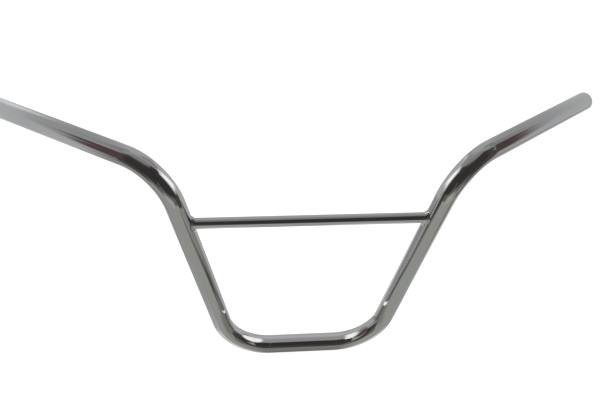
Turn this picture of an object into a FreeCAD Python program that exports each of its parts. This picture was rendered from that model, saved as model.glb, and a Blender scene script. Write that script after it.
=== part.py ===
import FreeCAD, Part
import math
import os

# Chrome-plated steel handlebar: one long tube bent four times into a low U with
# two swept-back grips, and a thinner straight crossbar welded between its risers.
#
# Frame: the bar as it sits on a bike. +Z up, +X along the clamp section, -Y to the
# front, so the grips sweep back towards +Y. The origin is the centre of the knurled
# clamp section, on the tube's axis. The bar is symmetric about the YZ plane.
# All sizes in millimetres.

# ---- driving dimensions -----------------------------------------------------
TUBE_OD = 22.2          # 7/8 in handlebar tube, the size that grips, levers and clamps fit
TUBE_WALL = 2.0
LOWER_X = 90.0          # corner of the lower bend, where clamp section and riser axes meet
UPPER_X = 152.5         # corner of the upper bend, where riser and grip axes meet
UPPER_Z = 283.5
GRIP_END_X = 349.0      # centre of the open end of the grip
GRIP_END_Y = 141.5
GRIP_END_Z = 269.5
LOWER_R = 62.0          # bend radii, on the tube's axis
UPPER_R = 53.0
END_CHAMFER = 0.4       # de-burred edge on both open ends
KNURL_LEN = 86.0        # knurled length along the tube's axis, between its two ring grooves;
                        # it was rolled before bending, so it runs just into both lower bends
RING_WIDTH = 1.2        # ring groove beside the knurl
RING_DEPTH = 0.15
CROSSBAR_OD = 12.0
CROSSBAR_WALL = 1.5
CROSSBAR_Z = 211.0      # height of the crossbar's axis
BEAD_R = 4.0            # throat radius of the fillet weld round each crossbar end

V = FreeCAD.Vector
RO = TUBE_OD / 2.0
RI = RO - TUBE_WALL
CRO = CROSSBAR_OD / 2.0
CRI = CRO - CROSSBAR_WALL


# ---- centreline: straight runs joined by tangent arcs -------------------------
def segments(corners, radii):
    """Lines ("line", start, end) and arcs ("arc", start, direction, inward, radius, angle)."""
    out = []
    cur = corners[0]
    for k in range(1, len(corners) - 1):
        d0 = (corners[k] - corners[k - 1]).normalize()
        d1 = (corners[k + 1] - corners[k]).normalize()
        ang = math.acos(max(-1.0, min(1.0, d0.dot(d1))))
        t = radii[k - 1] * math.tan(ang / 2.0)
        s = corners[k] - d0 * t
        out.append(("line", cur, s))
        inward = (d1 - d0 * d0.dot(d1)).normalize()
        out.append(("arc", s, d0, inward, radii[k - 1], ang))
        cur = corners[k] + d1 * t
    out.append(("line", cur, corners[-1]))
    return out


def disc(centre, normal, r):
    return Part.Face(Part.Wire(Part.makeCircle(r, centre, normal)))


def rod(segs, r, overrun=0.0):
    """A solid round rod of radius r along the segments, longer by overrun at both ends."""
    solids = []
    for i, s in enumerate(segs):
        if s[0] == "line":
            a, b = s[1], s[2]
            d = (b - a).normalize()
            if i == 0:
                a = a - d * overrun
            if i == len(segs) - 1:
                b = b + d * overrun
            solids.append(Part.makeCylinder(r, (b - a).Length, a, d))
        else:
            _, p, d, inward, rad, ang = s
            solids.append(disc(p, d, r).revolve(p + inward * rad, d.cross(inward), math.degrees(ang)))
    out = solids[0]
    for s in solids[1:]:
        out = out.fuse(s)
    return out


def length(segs):
    return sum((s[2] - s[1]).Length if s[0] == "line" else s[4] * s[5] for s in segs)


def one_solid(shape):
    assert len(shape.Solids) == 1, len(shape.Solids)
    out = shape.Solids[0]
    assert out.isValid()
    return out


def mirror(p):
    return V(-p.x, p.y, p.z)


right = [V(LOWER_X, 0, 0), V(UPPER_X, 0, UPPER_Z), V(GRIP_END_X, GRIP_END_Y, GRIP_END_Z)]
corners = [mirror(p) for p in reversed(right)] + right
path = segments(corners, [UPPER_R, LOWER_R, LOWER_R, UPPER_R])

# ---- main tube ----------------------------------------------------------------
outer = rod(path, RO)
inner = rod(path, RI, overrun=2.0)
tube = one_solid(outer.cut(inner))

# the four sharp edges of the two open ends are broken
end_edges = []
for e in tube.Edges:
    c = e.Curve
    if isinstance(c, Part.Circle) and abs(abs(c.Center.x) - GRIP_END_X) < 0.01:
        end_edges.append(e)
assert len(end_edges) == 4, len(end_edges)
tube = one_solid(tube.makeChamfer(END_CHAMFER, end_edges))

# the two ring grooves that close the knurled length, each square to the tube's axis
bend_start = next(s for s in path if s[0] == "arc" and s[1].x > 0)
_, arc_from, arc_dir, arc_inward, arc_r, _ = bend_start
ring_at = (KNURL_LEN / 2.0 - arc_from.x) / arc_r          # angle into the bend
assert 0.0 < ring_at - RING_WIDTH / 2.0 / arc_r


def ring_slice(side, r):
    """A slice of round rod as long as the ring groove is wide, in the lower bend."""
    centre = arc_from + arc_inward * arc_r
    axis = arc_dir.cross(arc_inward)
    if side < 0:
        centre, axis = mirror(centre), V(axis.x, -axis.y, -axis.z)
    face = disc(V(side * arc_from.x, 0, 0), V(1, 0, 0), r)
    face.rotate(centre, axis, math.degrees(ring_at - RING_WIDTH / 2.0 / arc_r))
    return face.revolve(centre, axis, math.degrees(RING_WIDTH / arc_r))


for side in (-1, 1):
    ring = ring_slice(side, RO + 1.0).cut(ring_slice(side, RO - RING_DEPTH))
    tube = one_solid(tube.cut(ring))

# ---- crossbar: its ends are coped to sit on the risers ---------------------------
riser_dir = (V(UPPER_X, 0, UPPER_Z) - V(LOWER_X, 0, 0)).normalize()
joint_x = LOWER_X + (UPPER_X - LOWER_X) * CROSSBAR_Z / UPPER_Z   # riser axis at crossbar height


def riser_rod(side, reach=60.0):
    """A solid length of the riser round the crossbar's joint."""
    d = V(side * riser_dir.x, 0, riser_dir.z)
    c = V(side * joint_x, 0, CROSSBAR_Z)
    return Part.makeCylinder(RO, 2 * reach, c - d * reach, d)


bar = Part.makeCylinder(CRO, 2 * joint_x, V(-joint_x, 0, CROSSBAR_Z), V(1, 0, 0)).cut(
    Part.makeCylinder(CRI, 2 * joint_x, V(-joint_x, 0, CROSSBAR_Z), V(1, 0, 0))
)
for side in (-1, 1):
    bar = bar.cut(riser_rod(side))
crossbar = one_solid(bar)


# ---- weld beads: a fillet all round each end of the crossbar ----------------------
def weld_bead(side):
    riser = riser_rod(side)
    stub = Part.makeCylinder(CRO, joint_x - 60.0, V(side * joint_x, 0, CROSSBAR_Z), V(-side, 0, 0))
    both = one_solid(riser.fuse(stub))
    # the seam where crossbar and riser meet is the only edge that is not a circle or a line
    seam = [
        e for e in both.Edges
        if not isinstance(e.Curve, (Part.Circle, Part.Line))
    ]
    assert seam, "no seam"
    filleted = one_solid(both.makeFillet(BEAD_R, seam))
    ring = filleted.cut(riser).cut(stub)
    solids = [s for s in ring.Solids if s.Volume > 1.0]
    assert len(solids) == 1, [s.Volume for s in ring.Solids]
    return one_solid(Part.Compound(solids))


parts = {
    "main_tube": tube,
    "crossbar": crossbar,
    "left_weld_bead": weld_bead(-1),
    "right_weld_bead": weld_bead(1),
}

os.makedirs("parts", exist_ok=True)
for name, shape in parts.items():
    shape.exportStep(os.path.join("parts", name + ".step"))
    b = shape.BoundBox
    print(
        "%-16s volume %9.1f mm3  x %8.2f %8.2f  y %8.2f %8.2f  z %8.2f %8.2f"
        % (name, shape.Volume, b.XMin, b.XMax, b.YMin, b.YMax, b.ZMin, b.ZMax)
    )

section = math.pi * (RO * RO - RI * RI)
print("main tube: length along its axis %.1f mm, section times length %.1f mm3" % (length(path), section * length(path)))
for s in path:
    if s[0] == "line":
        print("  line %.2f mm  (%.2f %.2f %.2f) to (%.2f %.2f %.2f)" % ((s[2] - s[1]).Length, *s[1], *s[2]))
    else:
        print("  bend radius %.1f mm through %.2f degrees" % (s[4], math.degrees(s[5])))
print("joint_x %.3f riser lean %.3f degrees" % (joint_x, math.degrees(math.atan2(riser_dir.x, riser_dir.z))))
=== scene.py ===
import math

import bpy
import numpy as np
from mathutils import Matrix, Vector


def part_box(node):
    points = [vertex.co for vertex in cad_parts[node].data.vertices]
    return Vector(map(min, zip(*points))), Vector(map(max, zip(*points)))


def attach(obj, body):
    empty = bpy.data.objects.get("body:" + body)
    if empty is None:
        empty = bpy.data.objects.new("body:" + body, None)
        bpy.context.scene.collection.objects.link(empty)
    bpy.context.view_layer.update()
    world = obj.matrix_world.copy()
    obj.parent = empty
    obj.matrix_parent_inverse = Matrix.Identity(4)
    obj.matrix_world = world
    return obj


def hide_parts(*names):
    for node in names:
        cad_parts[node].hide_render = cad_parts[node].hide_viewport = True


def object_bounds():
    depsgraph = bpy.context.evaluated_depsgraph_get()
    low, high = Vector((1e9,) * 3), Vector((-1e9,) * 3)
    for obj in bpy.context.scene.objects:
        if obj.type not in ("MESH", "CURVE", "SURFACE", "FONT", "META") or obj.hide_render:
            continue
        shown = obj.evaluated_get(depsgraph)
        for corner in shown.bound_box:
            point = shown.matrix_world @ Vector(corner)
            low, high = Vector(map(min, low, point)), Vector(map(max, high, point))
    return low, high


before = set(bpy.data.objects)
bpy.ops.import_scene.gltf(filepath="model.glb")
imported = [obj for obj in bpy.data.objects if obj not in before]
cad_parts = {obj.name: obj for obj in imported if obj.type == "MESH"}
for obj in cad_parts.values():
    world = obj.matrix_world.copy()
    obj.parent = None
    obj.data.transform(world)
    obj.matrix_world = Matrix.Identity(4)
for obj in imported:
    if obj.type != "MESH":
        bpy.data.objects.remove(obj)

# A chrome-plated handlebar: main tube with four bends, welded crossbar, two weld beads.
# Lengths below are in millimetres, as the design has them; MM turns them into metres.
MM = 0.001
cad_lo, cad_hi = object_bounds()
SEED = 20411
rng = np.random.default_rng(SEED)

RO, RI = 11.1, 9.1                       # main tube, outside and inside radius
CORNERS = [(90.0, 0.0, 0.0), (152.5, 0.0, 283.5), (349.0, 141.5, 269.5)]
BEND_R = [62.0, 53.0]
KNURL_HALF = 43.0                        # ring grooves are centred here, along the axis
RING_W, RING_D = 1.2, 0.05
CRO, CRI, CROSS_Z = 6.0, 4.5, 211.0      # crossbar


# ---------------------------------------------------------------- centreline of the main tube
def unit(v):
    v = np.asarray(v, float)
    return v / np.linalg.norm(v)


def right_half():
    """Segments of the right half from the middle out: (kind, length, data)."""
    pts = [np.zeros(3)] + [np.array(c, float) for c in CORNERS]
    segs, cur = [], pts[0]
    for k in (1, 2):
        d0, d1 = unit(pts[k] - pts[k - 1]), unit(pts[k + 1] - pts[k])
        ang = math.acos(float(d0 @ d1))
        t = BEND_R[k - 1] * math.tan(ang / 2)
        start = pts[k] - d0 * t
        segs.append(("line", float(np.linalg.norm(start - cur)), (cur, d0)))
        inward = unit(d1 - d0 * (d0 @ d1))
        segs.append(("arc", BEND_R[k - 1] * ang, (start, d0, inward, BEND_R[k - 1])))
        cur = pts[k] + d1 * t
    segs.append(("line", float(np.linalg.norm(pts[3] - cur)), (cur, unit(pts[3] - cur))))
    return segs


HALF = right_half()
HALF_LEN = sum(s[1] for s in HALF)
STARTS = np.cumsum([0.0] + [s[1] for s in HALF])     # arc length at which each segment starts


def turn(v, axis, ang):
    """v turned about a unit axis (Rodrigues)."""
    c, s = np.cos(ang)[:, None], np.sin(ang)[:, None]
    v = np.broadcast_to(v, (len(ang), 3))
    return v * c + np.cross(axis, v) * s + axis * (v @ axis)[:, None] * (1 - c)


def centre(s):
    """Point, tangent and two cross directions of the axis at arc lengths s from the middle."""
    s = np.asarray(s, float)
    sign = np.where(s < 0, -1.0, 1.0)
    a = np.abs(s)
    P, T, B = (np.zeros((len(s), 3)) for _ in range(3))
    side = np.array([0.0, 1.0, 0.0])
    for k, (kind, length, data) in enumerate(HALF):
        last = k == len(HALF) - 1
        m = (a >= STARTS[k]) & ((a < STARTS[k + 1]) | last)
        t = a[m] - STARTS[k]
        if kind == "line":
            p, d = data
            P[m], T[m], B[m] = p + t[:, None] * d, d, side
        else:
            p, d, inward, r = data
            axis = np.cross(d, inward)
            c = p + inward * r
            P[m] = c + turn(p - c, axis, t / r)
            T[m] = turn(d, axis, t / r)
            B[m] = turn(side, axis, t / r)
            side = turn(side, axis, np.array([length / r]))[0]
    P[:, 0] *= sign
    T[:, 1] *= sign
    T[:, 2] *= sign
    B[:, 0] *= sign
    A = np.cross(T, B)
    return P, T, A, B


def place(s, th, r):
    """Straightened tube coordinates (along, round, out) to points in the row frame, in mm."""
    P, _, A, B = centre(s)
    return P + r[:, None] * (np.cos(th)[:, None] * A + np.sin(th)[:, None] * B)


# ---------------------------------------------------------------- mesh helpers
class Builder:
    """Collects vertices in straightened coordinates and faces with a material index."""

    def __init__(self):
        self.s, self.th, self.r, self.faces, self.mat = [], [], [], [], []
        self.n = 0

    def ring(self, s, n, r, th=None):
        th = np.arange(n) * (2 * math.pi / n) if th is None else np.asarray(th)
        n = len(th)
        self.s.append(np.full(n, float(s)))
        self.th.append(th)
        self.r.append(np.full(n, float(r)))
        first = self.n
        self.n += n
        return np.arange(first, first + n), th

    def strip(self, a, b, mat=0):
        """Quads between two rings of the same count."""
        n = len(a)
        for i in range(n):
            j = (i + 1) % n
            self.faces.append((int(a[i]), int(b[i]), int(b[j]), int(a[j])))
            self.mat.append(mat)

    def zip(self, a, tha, b, thb, mat=0):
        """Triangles between two rings of different counts, both sorted by angle from about 0."""
        i = j = 0
        na, nb = len(a), len(b)
        ta = np.append(tha, tha[0] + 2 * math.pi)
        tb = np.append(thb, thb[0] + 2 * math.pi)
        while i < na or j < nb:
            if j >= nb or (i < na and ta[i + 1] <= tb[j + 1]):
                self.faces.append((int(a[i]), int(b[j % nb]), int(a[(i + 1) % na])))
                i += 1
            else:
                self.faces.append((int(a[i % na]), int(b[j]), int(b[(j + 1) % nb])))
                j += 1
            self.mat.append(mat)


def make_object(name, verts, faces, mats, materials, coords, sharp_deg=None):
    """A mesh object in metres with smooth shading and the straightened coordinates as an attribute."""
    me = bpy.data.meshes.new(name)
    me.from_pydata([tuple(v) for v in (np.asarray(verts) * MM)], [], faces)
    for m in materials:
        me.materials.append(m)
    me.polygons.foreach_set("material_index", np.asarray(mats, np.int32))
    me.polygons.foreach_set("use_smooth", np.ones(len(me.polygons), bool))
    at = me.attributes.new("unrolled", "FLOAT_VECTOR", "POINT")
    at.data.foreach_set("vector", np.asarray(coords, np.float32).ravel())
    me.update()
    if sharp_deg is not None:
        me.set_sharp_from_angle(angle=math.radians(sharp_deg))
    me.validate()
    ob = bpy.data.objects.new(name, me)
    bpy.context.scene.collection.objects.link(ob)
    return ob


# ---------------------------------------------------------------- materials
def node_tools(mat):
    nt = mat.node_tree
    nodes, links = nt.nodes, nt.links

    def add(kind, **kw):
        n = nodes.new(kind)
        for k, v in kw.items():
            setattr(n, k, v)
        return n

    return nodes, links, add


def metal(name, base, rough, rough_var, line_strength, grime, spots, dull=0.0):
    """Polished plated steel: fine polishing lines round the tube, faint haze, finger marks and pin marks.
    dull mixes in a rougher, darker finish for bare or saw-cut faces."""
    mat = bpy.data.materials.new(name)
    mat.use_nodes = True
    nodes, links, add = node_tools(mat)
    nodes.clear()
    out = add("ShaderNodeOutputMaterial")
    bsdf = add("ShaderNodeBsdfPrincipled")
    links.new(bsdf.outputs[0], out.inputs[0])
    bsdf.inputs["Metallic"].default_value = 1.0
    at = add("ShaderNodeAttribute", attribute_name="unrolled")

    def stretched(scale, detail, rough_, sx, sy, sz):
        m = add("ShaderNodeVectorMath", operation="MULTIPLY")
        m.inputs[1].default_value = (sx, sy, sz)
        links.new(at.outputs["Vector"], m.inputs[0])
        n = add("ShaderNodeTexNoise")
        n.inputs["Scale"].default_value = scale
        n.inputs["Detail"].default_value = detail
        n.inputs["Roughness"].default_value = rough_
        links.new(m.outputs[0], n.inputs["Vector"])
        return n

    def mapped(src, lo, hi, a, b, smooth=True):
        m = add("ShaderNodeMapRange")
        if smooth:
            m.interpolation_type = "SMOOTHSTEP"
        m.inputs["From Min"].default_value = lo
        m.inputs["From Max"].default_value = hi
        m.inputs["To Min"].default_value = a
        m.inputs["To Max"].default_value = b
        links.new(src, m.inputs["Value"])
        return m.outputs["Result"]

    def math_(op, a, b):
        m = add("ShaderNodeMath", operation=op)
        for i, x in enumerate((a, b)):
            if isinstance(x, (int, float)):
                m.inputs[i].default_value = x
            else:
                links.new(x, m.inputs[i])
        return m.outputs[0]

    # unrolled coordinates are in mm: two across the section, one along the axis
    lines = stretched(1.0, 3.0, 0.6, 0.06, 0.06, 2.2)      # polishing lines run round the tube
    haze = stretched(1.0, 4.0, 0.55, 0.045, 0.045, 0.022)  # broad uneven polish
    prints = stretched(1.0, 5.0, 0.65, 0.16, 0.16, 0.11)   # wiped finger marks
    grain = stretched(1.0, 2.0, 0.5, 1.7, 1.7, 1.7)        # fine orange-peel of the plating
    pits = add("ShaderNodeTexVoronoi")
    pits.inputs["Scale"].default_value = 0.33
    links.new(at.outputs["Vector"], pits.inputs["Vector"])
    pit_on = mapped(pits.outputs["Distance"], 0.035, 0.075, spots, 0.0)

    smear = mapped(prints.outputs[0], 0.54, 0.72, 0.0, 1.0)
    r0 = mapped(haze.outputs[0], 0.3, 0.7, rough, rough + rough_var)
    r1 = math_("ADD", r0, math_("MULTIPLY", smear, grime))
    r2 = math_("ADD", r1, math_("MULTIPLY", mapped(lines.outputs[0], 0.35, 0.75, 0.0, 1.0), rough_var * 0.5))
    r3 = math_("ADD", r2, math_("MULTIPLY", pit_on, 0.35))
    links.new(r3, bsdf.inputs["Roughness"])

    # colour: near-neutral chromium, a touch warmer where the plate is hazy, darker in the pits
    ramp = add("ShaderNodeMix", data_type="RGBA")
    links.new(mapped(haze.outputs[0], 0.3, 0.7, 0.0, 1.0), ramp.inputs["Factor"])
    ramp.inputs["A"].default_value = (*base, 1)
    ramp.inputs["B"].default_value = (base[0] * 0.975, base[1] * 0.965, base[2] * 0.945, 1)
    dark = add("ShaderNodeMix", data_type="RGBA")
    links.new(math_("MULTIPLY", pit_on, 0.8), dark.inputs["Factor"])
    links.new(ramp.outputs["Result"], dark.inputs["A"])
    dark.inputs["B"].default_value = (0.10, 0.075, 0.055, 1)
    veil = add("ShaderNodeMix", data_type="RGBA")
    links.new(math_("MULTIPLY", smear, 0.05 + grime), veil.inputs["Factor"])
    links.new(dark.outputs["Result"], veil.inputs["A"])
    veil.inputs["B"].default_value = (base[0] * 0.86, base[1] * 0.86, base[2] * 0.85, 1)
    colour = veil.outputs["Result"]
    if dull:
        rust = stretched(1.0, 6.0, 0.7, 0.35, 0.35, 0.12)
        stain = add("ShaderNodeMix", data_type="RGBA")
        links.new(mapped(rust.outputs[0], 0.45, 0.72, 0.0, dull), stain.inputs["Factor"])
        links.new(colour, stain.inputs["A"])
        stain.inputs["B"].default_value = (0.085, 0.055, 0.038, 1)
        colour = stain.outputs["Result"]
    links.new(colour, bsdf.inputs["Base Color"])

    # bump: polishing lines and orange-peel a few microns high
    h = math_("ADD", math_("MULTIPLY", lines.outputs[0], line_strength),
              math_("MULTIPLY", grain.outputs[0], line_strength * 0.6))
    h = math_("SUBTRACT", h, math_("MULTIPLY", pit_on, 0.6))
    if dull:
        h = math_("ADD", h, math_("MULTIPLY", rust.outputs[0], 6.0 * dull))
    bump = add("ShaderNodeBump")
    bump.inputs["Strength"].default_value = 1.0
    bump.inputs["Distance"].default_value = 0.00002
    links.new(h, bump.inputs["Height"])
    links.new(bump.outputs[0], bsdf.inputs["Normal"])
    return mat


CHROME = (0.575, 0.58, 0.578)
chrome_tube = metal("chrome_tube", CHROME, 0.02, 0.03, 0.25, 0.05, 0.7)
chrome_cross = metal("chrome_crossbar", CHROME, 0.02, 0.03, 0.25, 0.05, 0.6)
chrome_weld = metal("chrome_weld", (0.56, 0.56, 0.555), 0.05, 0.05, 0.6, 0.06, 1.0)
cut_face = metal("cut_end_face", (0.50, 0.50, 0.50), 0.22, 0.12, 5.0, 0.05, 0.5, dull=0.25)
bare_bore = metal("bare_bore", (0.30, 0.285, 0.27), 0.48, 0.2, 3.0, 0.1, 0.8, dull=0.75)


# ---------------------------------------------------------------- main tube
def ring_profile(d):
    """Depth of the ring groove at d mm from its centre: a round-bottomed roll mark."""
    x = np.clip(abs(d) / (RING_W / 2), 0, 1)
    return RING_D * (1 - x * x * (3 - 2 * x))


def main_tube():
    b = Builder()
    N = 96
    # knurl: a diamond lattice of flat lands between two families of rolled V grooves
    n_round, m_along = 36, 44
    k_half = KNURL_HALF - RING_W / 2
    pitch = 2 * k_half / m_along
    w, depth = 0.06, 0.012
    offs = np.array([0.0, w, 0.5, 1 - w])
    rows, ths = [], []
    for S in range(0, 8 * m_along + 1):
        D = np.arange(S % 2, 8 * n_round, 2)
        U, Vv = (S + D) // 2, (S - D) // 2
        u = np.floor_divide(U, 4) + offs[np.mod(U, 4)]
        v = np.floor_divide(Vv, 4) + offs[np.mod(Vv, 4)]
        th = (u - v) * math.pi / n_round
        s = -k_half + (u + v) * pitch / 2
        groove = (np.mod(U, 4) == 0) | (np.mod(Vv, 4) == 0)
        edge = np.minimum(s + k_half, k_half - s)           # the roll runs out just before the ring
        r = RO - depth * groove * np.clip(edge / 0.5, 0, 1)
        first = b.n
        b.s.append(s)
        b.th.append(th)
        b.r.append(r)
        b.n += len(th)
        rows.append(np.arange(first, first + len(th)))
        ths.append(th)
    top = 8 * m_along
    walls = set()

    def at(S, D):
        D = D % (8 * n_round)
        return int(rows[S][(D - S % 2) // 2])

    for S in range(-1, top):
        for D in range((S % 2), 8 * n_round, 2):
            # corners (U,V) (U+1,V) (U+1,V+1) (U,V+1) have S: S, S+1, S+2, S+1 and D: D, D+1, D, D-1
            pts = []
            for dS, dD in ((0, 0), (1, 1), (2, 0), (1, -1)):
                if 0 <= S + dS <= top:
                    pts.append(at(S + dS, D + dD))
            if len(pts) >= 3:
                # a land is the middle of a cell, two by two faces; the rest are groove walls
                a_, b_ = ((S + D) // 2) % 4, ((S - D) // 2) % 4
                if not (a_ in (1, 2) and b_ in (1, 2)):
                    walls.add(len(b.faces))
                b.faces.append(tuple(pts[::-1]))
                b.mat.append(0)

    # from each side of the knurl: the ring groove, then the bend, riser, bend and grip
    ends = []
    for side in (-1, 1):
        row, th = rows[0 if side < 0 else top], ths[0 if side < 0 else top]
        order = np.argsort(np.mod(th, 2 * math.pi))
        row, th = row[order], np.mod(th, 2 * math.pi)[order]
        stations = [k_half + RING_W * x for x in (0.0, 0.1, 0.2, 0.3, 0.4, 0.5, 0.6, 0.7, 0.8, 0.9, 1.0)]
        radii = [RO - ring_profile(s - KNURL_HALF) for s in stations]
        stations = [stations[0] + 0.04] + stations[1:]
        groove_from = len(b.faces)
        for k, (kind, length, _) in enumerate(HALF):
            s0, s1 = max(STARTS[k], k_half + RING_W + 0.4), STARTS[k + 1]
            if s1 <= s0:
                continue
            step = 2.1 if kind == "arc" else 6.5
            m = max(1, int(round((s1 - s0) / step)))
            last = k == len(HALF) - 1
            stop = s1 - (0.9 if last else 0.0)
            for q in range(m if not last else m + 1):
                stations.append(s0 + (stop - s0) * q / m)
                radii.append(RO)
        # the open end: outer edge rounded, saw-cut face, inner edge rounded
        E = HALF_LEN
        rr = 0.68                                           # stays inside the design's 0.4 mm chamfer
        prof = [(E - rr + rr * math.sin(a), RO - rr + rr * math.cos(a)) for a in np.radians([0, 18, 36, 54, 72, 90])]
        prof += [(E - 0.01, 10.2), (E, 9.95)]
        ri = 0.6
        inner = [(E - ri + ri * math.cos(a), RI + ri - ri * math.sin(a)) for a in np.radians([0, 22.5, 45, 67.5, 90])]
        prev, prev_th = None, None
        for s, r in zip(stations, radii):
            ids, t = b.ring(side * s, N, r)
            if prev is None:
                if side > 0:
                    b.zip(row, th, ids, t)
                else:
                    b.zip(ids, t, row, th)
            elif side > 0:
                b.strip(prev, ids)
            else:
                b.strip(ids, prev)
            prev = ids
            if s < k_half + RING_W + 0.01:
                walls.update(range(groove_from, len(b.faces)))
        plain_to = len(b.faces)
        for q, (s, r) in enumerate(prof + inner):
            ids, t = b.ring(side * s, N, r)
            mat = 0 if q < 5 else (1 if q < len(prof) + 3 else 2)
            if side > 0:
                b.strip(prev, ids, mat)
            else:
                b.strip(ids, prev, mat)
            prev = ids
        walls.update(range(plain_to, len(b.faces)))
        ends.append((side, prev, t))
    outer_faces = len(b.faces)

    # the bore, from one end to the other
    NI = 48
    stations = [E - 1.2]
    for k in range(len(HALF) - 1, -1, -1):
        kind = HALF[k][0]
        s1, s0 = min(STARTS[k + 1], E - 1.2), STARTS[k]
        step = 3.6 if kind == "arc" else 12.0
        m = max(1, int(round((s1 - s0) / step)))
        stations += [s1 + (s0 - s1) * q / m for q in range(1, m + 1)]
    stations = stations + [-s for s in stations[::-1][1:]]        # from +end to -end
    prev = None
    for s in stations:
        ids, t = b.ring(s, NI, RI)
        if prev is None:
            side, e_ids, e_th = ends[1]
            b.zip(e_ids, e_th, ids, t, 2)
        else:
            b.strip(prev, ids, 2)
        prev = ids
    side, e_ids, e_th = ends[0]
    b.zip(prev, t, e_ids, e_th, 2)

    s, th, r = (np.concatenate(x) for x in (b.s, b.th, b.r))
    co = place(s, th, r)
    un = np.stack([r * np.cos(th), r * np.sin(th), s], 1)
    ob = make_object("main_tube_chromed", co, b.faces, b.mat, [chrome_tube, cut_face, bare_bore], un, 16)
    # the plated outside shades as the true round tube, not as its facets
    _, _, A, B = centre(s)
    true = np.cos(th)[:, None] * A + np.sin(th)[:, None] * B
    me = ob.data
    normals = np.zeros((len(me.loops), 3), np.float32)
    me.corner_normals.foreach_get("vector", normals.ravel())
    vert = np.zeros(len(me.loops), np.int64)
    me.loops.foreach_get("vertex_index", vert)
    of = np.zeros(len(me.polygons), np.int64)
    me.polygons.foreach_get("loop_total", of)
    face = np.repeat(np.arange(len(of)), of)
    smooth = np.ones(len(of), bool)
    smooth[list(walls)] = False
    smooth[outer_faces:] = False
    pick = smooth[face]
    normals = normals.reshape(-1, 3)
    normals[pick] = true[vert[pick]]
    me.normals_split_custom_set([tuple(x) for x in normals])
    return ob


tube = main_tube()

# ---------------------------------------------------------------- crossbar
(lx, _, _), (ux, _, uz) = CORNERS[0], CORNERS[1]
JOINT_X = lx + (ux - lx) * CROSS_Z / uz
LEAN = math.atan2(ux - lx, uz)
SL, CL = math.sin(LEAN), math.cos(LEAN)


def cope_x(y, z, clear=0.0):
    """x at which a line along the crossbar at (y, z) meets the right riser's outside."""
    q = -np.sqrt(np.maximum((RO + clear) ** 2 - y ** 2, 0))
    return JOINT_X + (q + (z - CROSS_Z) * SL) / CL


def crossbar():
    n = 72
    th = np.arange(n) * 2 * math.pi / n
    verts, un, faces, mats = [], [], [], []

    def ring(x, r):
        y, z = r * np.sin(th), CROSS_Z + r * np.cos(th)
        first = len(verts)
        for i in range(n):
            verts.append((x[i], y[i], z[i]))
            un.append((r * math.cos(th[i]), r * math.sin(th[i]), x[i]))
        return list(range(first, first + n))

    def strip(a, c, mat):
        for i in range(n):
            j = (i + 1) % n
            faces.append((a[i], c[i], c[j], a[j]))
            mats.append(mat)

    yo, zo = CRO * np.sin(th), CROSS_Z + CRO * np.cos(th)
    yi, zi = CRI * np.sin(th), CROSS_Z + CRI * np.cos(th)
    xo, xi = cope_x(yo, zo), cope_x(yi, zi)
    ts = np.linspace(-1, 1, 61)
    outer = [ring(xo * t, CRO) for t in ts]
    inner = [ring(xi * t, CRI) for t in np.linspace(-1, 1, 31)]
    for a, c in zip(outer[:-1], outer[1:]):
        strip(a, c, 0)
    for a, c in zip(inner[:-1], inner[1:]):
        strip(c, a, 1)
    strip(outer[-1], inner[-1], 1)
    strip(inner[0], outer[0], 1)
    return make_object("crossbar_chromed", verts, faces, mats, [chrome_cross, bare_bore], un, 40)


bar = crossbar()


# ---------------------------------------------------------------- weld beads
def wave(phi, seeds, amps):
    """A smooth closed random wave round the joint."""
    out = np.zeros_like(phi)
    for k, (p, a) in enumerate(zip(seeds, amps)):
        out = out + a * np.sin((k + 1) * phi + p)
    return out


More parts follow.
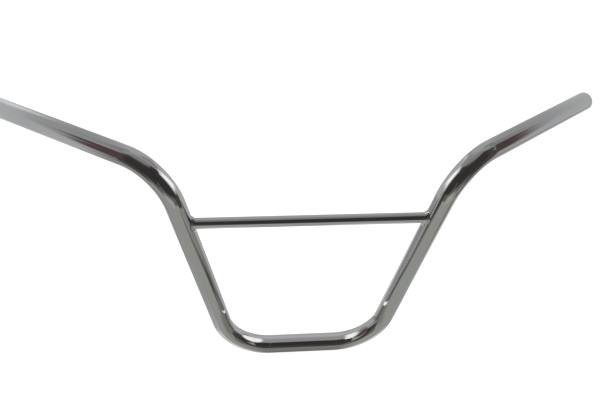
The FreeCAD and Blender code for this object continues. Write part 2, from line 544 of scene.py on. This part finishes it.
def weld_bead(side, name, seed):
    g = np.random.default_rng(seed)
    n = 168
    phi = np.arange(n) * 2 * math.pi / n                # 0 at the top of the crossbar
    yo, zo = CRO * np.sin(phi), CRO * np.cos(phi)
    seam_x = cope_x(yo, CROSS_Z + zo)
    # the seam on the riser, unrolled: a round its axis, h along it
    ax_dir = np.array([SL, 0, CL])
    q_dir = np.array([-CL, 0, SL])                      # from the riser's axis towards the crossbar
    jx = np.array([JOINT_X, 0, CROSS_Z])
    seam = np.stack([seam_x, yo, CROSS_Z + zo], 1)
    h = (seam - jx) @ ax_dir
    al = np.arcsin(np.clip(seam[:, 1] / RO, -1, 1))
    a = RO * al
    # outward in the unrolled sheet
    ta = np.roll(a, -1) - np.roll(a, 1)
    tt = np.roll(h, -1) - np.roll(h, 1)
    nl = np.hypot(ta, tt)
    na, nh = -tt / nl, ta / nl
    flip = np.sign((na * a + nh * (h - h.mean())).sum())
    na, nh = na * flip, nh * flip

    def on_riser(a_, h_, r=RO):
        al_ = a_ / RO
        return jx + h_[:, None] * ax_dir + (r * np.cos(al_))[:, None] * q_dir + (r * np.sin(al_))[:, None] * np.array([0.0, 1.0, 0.0])

    # opening angle between the two surfaces, from the normals at the seam
    nc = np.stack([np.zeros(n), np.sin(phi), np.cos(phi)], 1)
    nr = np.cos(al)[:, None] * q_dir + np.sin(al)[:, None] * np.array([0.0, 1.0, 0.0])
    beta = math.pi - np.arccos(np.clip((nc * nr).sum(1), -1, 1))
    leg = 3.9 / np.tan(beta / 2)
    up = (1 + np.cos(phi)) / 2                          # 1 at the top, 0 underneath
    leg_c = leg * (1 + 0.10 * up) + wave(phi, g.uniform(0, 6.28, 7), np.array([.10, .14, .12, .10, .09, .07, .06]))
    leg_r = leg * (1 + 0.12 * up) + wave(phi, g.uniform(0, 6.28, 7), np.array([.12, .14, .12, .10, .10, .08, .06]))
    leg_c, leg_r = np.maximum(leg_c, 1.7), np.maximum(leg_r, 1.7)
    kap = 0.78 - 1.02 * up ** 1.6 + wave(phi, g.uniform(0, 6.28, 5), np.array([.05, .06, .06, .05, .04]))
    C = seam.copy()
    C[:, 0] -= leg_c
    R = on_riser(a + na * leg_r, h + nh * leg_r)
    mid = (C + R) / 2
    K = mid + kap[:, None] * (seam - mid)
    outw = mid - seam
    outw /= np.linalg.norm(outw, axis=1)[:, None]
    rip_n = 19
    nt = 17
    verts, un, faces = [], [], []
    rows = []
    ts = np.linspace(0, 1, nt)
    for t in ts:
        p = (1 - t) ** 2 * C + 2 * t * (1 - t) * K + t * t * R
        ph = phi * rip_n + 2.6 * (4 * (t - 0.5) ** 2) + wave(phi, g.uniform(0, 6.28, 3) * 0 + np.array([0.4, 1.9, 4.1]), np.array([.5, .35, .3]))
        rip = np.abs(np.sin(ph / 2)) ** 0.8 - 0.6
        env = math.sin(math.pi * t) ** 0.8
        amp = (0.085 + 0.085 * up) * env
        lump = 0.10 * env * wave(phi + 1.3 * t, np.array([0.3, 2.2, 5.0, 1.1, 3.3]), np.array([0, .4, .6, .8, .7]))
        p = p + outw * (amp * rip + lump)[:, None]
        rows.append(p)
    # underside, a little inside both tubes, as weld metal is
    eps = 0.12
    under = []
    for f in (1.0, 0.5, 0.0):
        under.append(on_riser(a + na * leg_r * f, h + nh * leg_r * f, RO - eps))
    inner_c = []
    for f in (0.5, 1.0):
        p = seam.copy()
        p[:, 0] -= leg_c * f
        p[:, 1] = (CRO - eps) * np.sin(phi)
        p[:, 2] = CROSS_Z + (CRO - eps) * np.cos(phi)
        inner_c.append(p)
    rows += under + inner_c
    m = len(rows)
    V = np.concatenate(rows)
    if side < 0:
        V[:, 0] *= -1
    for j in range(m):
        j2 = (j + 1) % m
        for i in range(n):
            i2 = (i + 1) % n
            f = (j * n + i, j * n + i2, j2 * n + i2, j2 * n + i)
            faces.append(f if side > 0 else f[::-1])
    return make_object(name, V, faces, [0] * len(faces), [chrome_weld], V, 55)


weld_r = weld_bead(1, "right_weld_bead_rippled", SEED + 1)
weld_l = weld_bead(-1, "left_weld_bead_rippled", SEED + 2)

for ob in (bar, weld_r, weld_l):
    # faces look outwards
    import bmesh
    bm = bmesh.new()
    bm.from_mesh(ob.data)
    bmesh.ops.recalc_face_normals(bm, faces=bm.faces)
    bm.to_mesh(ob.data)
    bm.free()

for ob, node, slot in (
    (tube, "main_tube", "main_tube_chrome"),
    (bar, "crossbar", "crossbar_chrome"),
    (weld_r, "right_weld_bead", "weld_chrome"),
    (weld_l, "left_weld_bead", "weld_chrome"),
):
    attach(ob, "root")
    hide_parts(node)

# the swept tube is where the design says
for ob, node, tol in ((tube, "main_tube", 0.0002), (bar, "crossbar", 0.0002), (weld_r, "right_weld_bead", 0.0012)):
    lo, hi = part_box(node)
    co = np.array([v.co for v in ob.data.vertices])
    gap = max(np.abs(co.min(0) - np.array(lo)).max(), np.abs(co.max(0) - np.array(hi)).max())
    assert gap < tol, (node, gap)

# ---------------------------------------------------------------- studio
# Soft studio light, as polished metal sees it: everything below is reflected only. A dome of walls,
# flags and windows stands far off; an overhead card hangs over the clamp section, lit on its underside
# only; small side cards each light one bend; and strips of painted shade just above the floor stand for
# the bar's contact shadow, darker where the bar lies close to it.
# Directions are longitude from the front (-Y) towards +X, and latitude, in degrees.


def smooth01(x):
    x = np.clip(x, 0, 1)
    return x * x * (3 - 2 * x)


# longitude, latitude, roll, half-width, half-height, softness, colour, (roundness)
DOME_BASE = (0.46, 0.46, 0.465)
DOME = [
    (0, -90, 0, 26, 26, 5, (0.85, 0.85, 0.85)),
    (0, -40, 0, 60, 17, 4, (0.45, 0.462, 0.435)),
    (0, -18, 0, 58, 7, 4, (0.19, 0.185, 0.175)),
    (0, -22, 0, 19, 9, 4.5, (0.56, 0.56, 0.54)),
    (180, 18, 0, 45, 40, 10, (0.55, 0.55, 0.56)),
    (0, 88, 0, 50, 14, 6, (0.33, 0.32, 0.33)),
    (0, 50, 0, 52, 24, 7, (0.13, 0.105, 0.105)),
    (0, -2, 0, 62, 10, 4, (0.2, 0.185, 0.175)),
    (-62, 3, 0, 16.5, 30, 3.5, (0.095, 0.078, 0.073)),
    (65, 4, 0, 19.5, 31, 3.5, (0.095, 0.078, 0.073)),
    (-46, 50, 0, 25, 15, 5, (0.07, 0.06, 0.06)),
    (60, 52, 0, 21, 18, 4, (0.06, 0.052, 0.052)),
    (-38, 20, 0, 29, 25, 4, (0.055, 0.05, 0.05)),
    (30, 21, 0, 36, 24, 4, (0.055, 0.05, 0.05)),
    (3, 38, 0, 16, 24, 3, (0.05, 0.045, 0.045)),
    (-80, 37, 0, 7, 9, 3, (0.09, 0.072, 0.07)),
    (87, 40, 0, 9, 10, 3, (0.085, 0.07, 0.068)),
    (-132, -41, 0, 26, 7, 2.5, (0.82, 0.83, 0.84)),
    (-98, -46, 0, 10, 6, 3, (0.34, 0.34, 0.34)),
    (-112, -50.5, 0, 24, 4, 2.5, (0.37, 0.37, 0.37)),
    (66, -43, 0, 15, 4.5, 3, (0.28, 0.28, 0.27)),
    (122, -47.5, 0, 23, 4.8, 2, (0.92, 0.925, 0.93)),
    (-125.8, -3.3, 0, 49.5, 49.5, 2.5, (0.43, 0.43, 0.435), 2),
    (125.8, -3.3, 0, 38.8, 38.8, 2, (0.42, 0.42, 0.425), 2),
    (-125, 54, 0, 22, 9.5, 4, (0.33, 0.33, 0.335)),
    (127, 48, 0, 20, 15, 3, (0.325, 0.325, 0.335)),
    (118, 60, 0, 12, 7, 4, (0.43, 0.43, 0.44)),
    (-122, 60, 0, 12, 6, 4, (0.4, 0.4, 0.41)),
    (-77.5, 12, 8, 4.6, 21, 2.2, (0.125, 0.085, 0.08), 3),
    (-87.5, 30.5, -53, 8.7, 4.8, 2.4, (0.11, 0.075, 0.075), 3),
    (89, 9, -12, 6, 16, 2.4, (0.11, 0.078, 0.073), 3),
    (100.5, 28.5, 36, 11.5, 5, 2.4, (0.105, 0.072, 0.07), 3),
    (-125.8, -3.3, 0, 45.4, 45.4, 1.7, (0.45, 0.45, 0.46), 2),
    (-122, -7.5, 0, 42.8, 42.8, 2, (0.61, 0.615, 0.63), 2),
    (-125.8, -3.3, 0, 42.8, 42.8, 1.6, (0.58, 0.585, 0.6), 2),
    (-125.8, -3.3, 0, 41.2, 41.2, 1.6, (0.68, 0.685, 0.7), 2),
    (125.8, -3.3, 0, 36.0, 36.0, 1.7, (0.46, 0.465, 0.475), 2),
    (122.5, -7, 0, 33.5, 33.5, 2, (0.57, 0.575, 0.59), 2),
    (125.8, -3.3, 0, 33.0, 33.0, 1.7, (0.61, 0.615, 0.63), 2),
    (-140, 8, 0, 25.5, 25.5, 2.5, (0.95, 0.96, 0.98), 2),
    (-125.8, -3.3, 0, 38.6, 38.6, 1.5, (0.59, 0.595, 0.61), 2),
    (-128, -27, 0, 19, 5, 3, (0.38, 0.38, 0.38)),
    (86, -32, -3, 22, 5, 3, (0.36, 0.36, 0.35)),
    (68, -34.5, -2, 13, 3, 1.5, (0.1, 0.1, 0.09)),
    (50, -32.5, -8, 8, 2.5, 1.5, (0.22, 0.22, 0.21)),
    (-108, -26, 3, 7, 5, 2.5, (0.36, 0.36, 0.35)),
    (-76, -30, 0, 6.5, 2.8, 1.5, (0.09, 0.09, 0.085)),
    (-62, -27, 0, 8, 3, 2, (0.2, 0.2, 0.19)),
    (-155, -36, 0, 9, 3.5, 1.5, (0.88, 0.88, 0.89)),
]
CARD_Z = 0.195                             # height of the overhead card, in metres
CARD_FADE = (850.0, 1200.0)                   # it fades out between these distances, in mm
CARD_GAP = (133.0, 14.0, 60.0)                # it has a soft-edged gap round each riser: place, clear, full, in mm
CARD_BASE = (0.46, 0.45, 0.46)
# far: a zone by direction from the clamp section; near: left edge and its slope towards the
# front, right edge and its slope, front, back, softness, colour, in mm on the card
CARD = [
    ("far", (180, 10, 0, 45, 50, 12, (0.66, 0.66, 0.67))),
    ("far", (-60, 15, 0, 55, 38, 8, (0.34, 0.3, 0.29))),
    ("far", (75, 10, 0, 50, 34, 8, (0.32, 0.28, 0.27))),
    ("far", (-60, 28, 25, 26, 14, 5, (0.12, 0.085, 0.08))),
    ("far", (62, 16, -20, 24, 15, 5, (0.1, 0.055, 0.055))),
    ("far", (-20, 18, 0, 9, 26, 6, (0.42, 0.42, 0.4))),
    ("far", (30, 14, 0, 8, 14, 5, (0.4, 0.38, 0.4))),
    ("near", (-60, -0.1, 86, 0.26, -900, -82, 10, (0.05, 0.045, 0.04))),
    ("far", (6, 14, 0, 11, 5, 3, (0.08, 0.07, 0.065))),
]
TABLE_Z = -0.0113                        # the strips of painted shade, the bar's contact shadow, lie just above the floor
# left, right, front, back, softness in mm, colour, strength
# painted shade: dark strips seen only in reflections, standing for the bar's contact shadow on the floor
SHADE = [
    (-62, 62, -80, 40, 18, (0.27, 0.27, 0.25), 0.85),
    (-45, 45, -16, 13, 8, (0.17, 0.17, 0.165), 0.8),
]
# side cards: x in mm, the side they face (-1 left, 1 right), and their layers: front, back,
# bottom, top, softness in mm, colour
SIDES = [
    (-42, -1, [(-25, 10, 32.5, 35.8, 0.9, (1.5, 1.5, 1.5))]),
    (42, 1, [(-29, 11, 40.8, 46.6, 1.0, (1.5, 1.5, 1.5))]),
    (-80, -1, [(-23, 47, 264, 364, 12, (1.0, 1.0, 1.0)), (-6, 29, 272, 338, 10, (1.58, 1.58, 1.6))]),
    (20, 1, [(-26, 86, 262, 425, 16, (1.0, 1.0, 1.0)), (0, 64, 284, 380, 16, (1.58, 1.58, 1.6))]),
]


def towards(lon, lat):
    a, e = math.radians(lon), math.radians(lat)
    return np.array([math.sin(a) * math.cos(e), -math.cos(a) * math.cos(e), math.sin(e)])


def edge(distance, soft):
    """1 inside, 0 outside, smooth over soft on both sides of the edge."""
    return 1 - smooth01(distance / (2 * soft) + 0.5)


def zone_mask(zone, d):
    """A rounded rectangle on the sphere of directions."""
    lon, lat, roll, hw, hh, soft = zone[:6]
    power = zone[7] if len(zone) > 7 else 4.0
    c = towards(lon, lat)
    u = np.cross((0.0, 0.0, 1.0), c)
    n = np.linalg.norm(u)
    u = np.array([1.0, 0.0, 0.0]) if n < 1e-6 else u / n
    v = np.cross(c, u)
    r = math.radians(roll)
    u, v = u * math.cos(r) + v * math.sin(r), v * math.cos(r) - u * math.sin(r)
    away = np.degrees(np.arccos(np.clip(d @ c, -1, 1)))
    du, dv = d @ u, d @ v
    n = np.sqrt(du * du + dv * dv) + 1e-9
    a, b = away * du / n, away * dv / n
    rho = ((np.abs(a) / hw) ** power + (np.abs(b) / hh) ** power) ** (1 / power)
    reach = np.sqrt(a * a + b * b) + 1e-6
    return edge(reach * (1 - 1 / np.maximum(rho, 1e-6)), soft)


def panel_mask(zone, x, y):
    """A panel whose two sides may slope outwards towards the front."""
    a0, a1, b0, b1, y0, y1, soft = zone[:7]
    n = np.maximum(-y, 0)
    dx = np.maximum(a0 + a1 * n - x, x - b0 - b1 * n)
    dy = np.maximum(y0 - y, y - y1)
    outside = np.hypot(np.maximum(dx, 0), np.maximum(dy, 0))
    return edge(outside + np.minimum(np.maximum(dx, dy), 0), soft)


def layered(base, layers, count):
    v = np.tile(np.array(base, float), (count, 1))
    for mask, colour in layers:
        v = v * (1 - mask[:, None]) + np.array(colour) * mask[:, None]
    return v


def dome_light(d):
    return layered(DOME_BASE, ((zone_mask(z, d), z[6]) for z in DOME), len(d))


def card_light(x, y):
    d = np.stack([x, y, np.full_like(x, CARD_Z / MM - 10.0)], 1)
    d /= np.linalg.norm(d, axis=1)[:, None]
    layers = ((zone_mask(z, d), z[6]) if kind == "far" else (panel_mask(z, x, y), z[7]) for kind, z in CARD)
    v = layered(CARD_BASE, layers, len(x))
    a = 1 - smooth01((np.hypot(x, y) - CARD_FADE[0]) / (CARD_FADE[1] - CARD_FADE[0]))
    for side in (-1, 1):
        a = a * smooth01((np.hypot(x - side * CARD_GAP[0], y) - CARD_GAP[1]) / (CARD_GAP[2] - CARD_GAP[1]))
    return v, a


def shade_light(x, y):
    """The strips one over the other: colour and how much they cover."""
    v, cover = np.zeros((len(x), 3)), np.zeros(len(x))
    for z in SHADE:
        a = panel_mask((z[0], 0, z[1], 0, z[2], z[3], z[4]), x, y) * z[6]
        v = v * (1 - a[:, None]) + np.array(z[5]) * a[:, None]
        cover = cover * (1 - a) + a
    return v / np.maximum(cover, 1e-6)[:, None], cover


def reflected_only(name, verts, faces, light, cover=None, one_sided=False):
    """A mesh that gives light to reflections and nothing else."""
    me = bpy.data.meshes.new(name)
    me.from_pydata([tuple(x) for x in verts], [], faces)
    col = me.attributes.new("light", "FLOAT_COLOR", "POINT")
    cover = np.ones(len(verts)) if cover is None else cover
    col.data.foreach_set("color", np.hstack([light, cover[:, None]]).astype(np.float32).ravel())
    ob = bpy.data.objects.new(name, me)
    bpy.context.scene.collection.objects.link(ob)
    mat = bpy.data.materials.new(name + "_light")
    mat.use_nodes = True
    nodes, links, add = node_tools(mat)
    nodes.clear()
    out = add("ShaderNodeOutputMaterial")
    em = add("ShaderNodeEmission")
    at = add("ShaderNodeAttribute", attribute_name="light")
    links.new(at.outputs["Color"], em.inputs["Color"])
    if one_sided or cover.min() < 1:
        clear = add("ShaderNodeBsdfTransparent")
        mix = add("ShaderNodeMixShader")
        amount = at.outputs["Alpha"]
        if one_sided:
            side = add("ShaderNodeNewGeometry")
            front = add("ShaderNodeMath", operation="SUBTRACT")
            front.inputs[0].default_value = 1.0
            links.new(side.outputs["Backfacing"], front.inputs[1])
            both = add("ShaderNodeMath", operation="MULTIPLY")
            links.new(front.outputs[0], both.inputs[0])
            links.new(amount, both.inputs[1])
            amount = both.outputs[0]
        links.new(amount, mix.inputs["Fac"])
        links.new(clear.outputs[0], mix.inputs[1])
        links.new(em.outputs[0], mix.inputs[2])
        links.new(mix.outputs[0], out.inputs[0])
    else:
        links.new(em.outputs[0], out.inputs[0])
    mat.cycles.emission_sampling = "NONE"
    me.materials.append(mat)
    ob.visible_camera = False
    ob.visible_diffuse = False
    ob.visible_transmission = False
    ob.visible_volume_scatter = False
    ob.visible_shadow = False
    ob.visible_glossy = True
    return ob


def dome():
    nu, nv, R = 600, 300, 30.0
    lat = np.pi * (np.arange(1, nv) / nv - 0.5)
    lon = 2 * np.pi * np.arange(nu) / nu
    la, lo = np.meshgrid(lat, lon, indexing="ij")
    d = np.stack([np.cos(la) * np.cos(lo), np.cos(la) * np.sin(lo), np.sin(la)], -1).reshape(-1, 3)
    d = np.vstack([d, [[0, 0, -1.0], [0, 0, 1.0]]])
    south, north = len(d) - 2, len(d) - 1
    faces = []
    for i in range(nv - 2):
        for j in range(nu):
            k = (j + 1) % nu
            faces.append((i * nu + j, (i + 1) * nu + j, (i + 1) * nu + k, i * nu + k))
    for j in range(nu):
        k = (j + 1) % nu
        faces.append((south, j, k))
        faces.append((north, (nv - 2) * nu + k, (nv - 2) * nu + j))
    reflected_only("studio_surround", np.array([0.0, 0.06, 0.14]) + R * d, faces, dome_light(d))


def grid_sheet(x, y, z, down):
    """A flat sheet in metres from positions in mm, facing up or down."""
    gx, gy = np.meshgrid(x, y)
    gx, gy = gx.ravel(), gy.ravel()
    nx, ny = len(x), len(y)
    faces = []
    for j in range(ny - 1):
        for i in range(nx - 1):
            f = (j * nx + i, j * nx + i + 1, (j + 1) * nx + i + 1, (j + 1) * nx + i)
            faces.append(f[::-1] if down else f)
    return gx, gy, np.stack([gx * MM, gy * MM, np.full_like(gx, z)], 1), faces


def overhead_card():
    u = np.linspace(-1, 1, 301)
    g = CARD_FADE[1] * (0.25 * u + 0.75 * u ** 3)
    x, y, verts, faces = grid_sheet(g, g, CARD_Z, True)
    light, cover = card_light(x, y)
    reflected_only("studio_overhead_card", verts, faces, light, cover, one_sided=True)


def table_shade():
    x, y, verts, faces = grid_sheet(np.linspace(-110, 110, 111), np.linspace(-110, 70, 91), TABLE_Z, False)
    light, cover = shade_light(x, y)
    reflected_only("studio_table_shade", verts, faces, light, cover)


def side_card(x, facing, layers):
    y0, y1 = min(c[0] - 2 * c[4] for c in layers), max(c[1] + 2 * c[4] for c in layers)
    z0, z1 = min(c[2] - 2 * c[4] for c in layers), max(c[3] + 2 * c[4] for c in layers)
    gy, gz = np.meshgrid(np.linspace(y0, y1, 61), np.linspace(z0, z1, 81))
    gy, gz = gy.ravel(), gz.ravel()
    faces = []
    for j in range(80):
        for i in range(60):
            f = (j * 61 + i, j * 61 + i + 1, (j + 1) * 61 + i + 1, (j + 1) * 61 + i)
            faces.append(f if facing > 0 else f[::-1])
    masks = [panel_mask((c[0], 0, c[1], 0, c[2], c[3], c[4]), gy, gz) for c in layers]
    light = layered(layers[0][5], zip(masks, (c[5] for c in layers)), len(gy))
    verts = np.stack([np.full_like(gy, x * MM), gy * MM, gz * MM], 1)
    name = "studio_side_card_%s_%s" % ("low" if z0 < 100 else "high", "right" if facing > 0 else "left")
    reflected_only(name, verts, faces, light, masks[0], one_sided=True)


dome()
overhead_card()
for card in SIDES:
    side_card(*card)
table_shade()

# floor: plain, pale, just under the clamp section
floor_mesh = bpy.data.meshes.new("floor")
S = 12.0
floor_mesh.from_pydata([(-S, -S, 0), (S, -S, 0), (S, S, 0), (-S, S, 0)], [], [(0, 1, 2, 3)])
floor = bpy.data.objects.new("floor", floor_mesh)
floor.location = (0, 0, cad_lo.z - 0.0004 + 0.0)
bpy.context.scene.collection.objects.link(floor)
fm = bpy.data.materials.new("floor_paper")
fm.use_nodes = True
nodes, links, add = node_tools(fm)
nodes.clear()
out = add("ShaderNodeOutputMaterial")
mix = add("ShaderNodeAddShader")
dif = add("ShaderNodeBsdfDiffuse")
em = add("ShaderNodeEmission")
dif.inputs["Color"].default_value = (0.32, 0.32, 0.32, 1)
em.inputs["Color"].default_value = (1, 1, 1, 1)
em.inputs["Strength"].default_value = 0.88
links.new(dif.outputs[0], mix.inputs[0])
links.new(em.outputs[0], mix.inputs[1])
links.new(mix.outputs[0], out.inputs[0])
fm.cycles.emission_sampling = "NONE"
floor_mesh.materials.append(fm)
floor.visible_glossy = False

world = bpy.data.worlds.new("white_room")
bpy.context.scene.world = world
world.use_nodes = True
bg = world.node_tree.nodes["Background"]
bg.inputs["Color"].default_value = (1, 1, 1, 1)
bg.inputs["Strength"].default_value = 1.0

# camera at the view of the reference picture
cam_data = bpy.data.cameras.new("camera")
cam = bpy.data.objects.new("camera", cam_data)
bpy.context.scene.collection.objects.link(cam)
cam_data.lens = 39.0082
cam_data.sensor_width = 36.0
cam_data.sensor_fit = "HORIZONTAL"
cam_data.clip_start, cam_data.clip_end = 0.02, 60
right = Vector((0.9951788, -0.08734881, 0.04460199))
upv = Vector((0.02258116, 0.64661075, 0.76248582))
fwd = Vector((0.09544236, 0.75780256, -0.64546575))
cam.matrix_world = Matrix.Translation((-0.07836653, -0.5143992, 0.67761571)) @ Matrix(
    (right, upv, -fwd)
).transposed().to_4x4()
bpy.context.scene.camera = cam
bpy.context.scene.view_settings.view_transform = "Standard"
